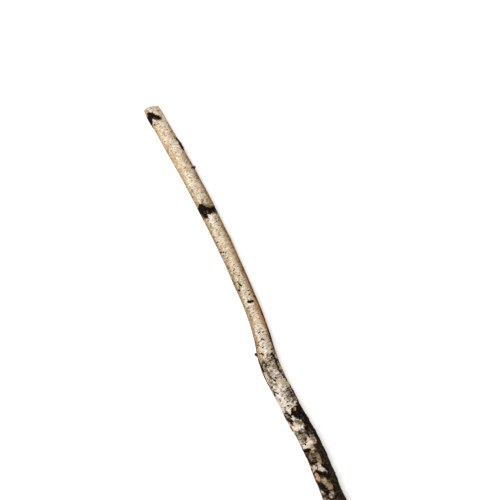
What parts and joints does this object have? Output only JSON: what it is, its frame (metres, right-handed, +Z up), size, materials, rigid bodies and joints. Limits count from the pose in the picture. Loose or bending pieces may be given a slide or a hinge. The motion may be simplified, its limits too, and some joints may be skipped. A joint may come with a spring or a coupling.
{
  "type": "birch branch",
  "caption": "Cut length of birch branch with pale bark that turns dark and rough towards its thick end, dark knots and sawn ends, lying on a surface. Decorative wood for displays and set dressing.",
  "frame": {"origin": "centre of the bounding box in plan, on the surface that the branch rests on", "axes": "+Z up; +X along the branch towards its thin end"},
  "size_m": [0.9146, 0.055, 0.0397],
  "materials": {
    "birch_bark": "matt"
  },
  "bodies": {
    "root": {"birch_branch": "birch_bark"}
  },
  "joints": []
}
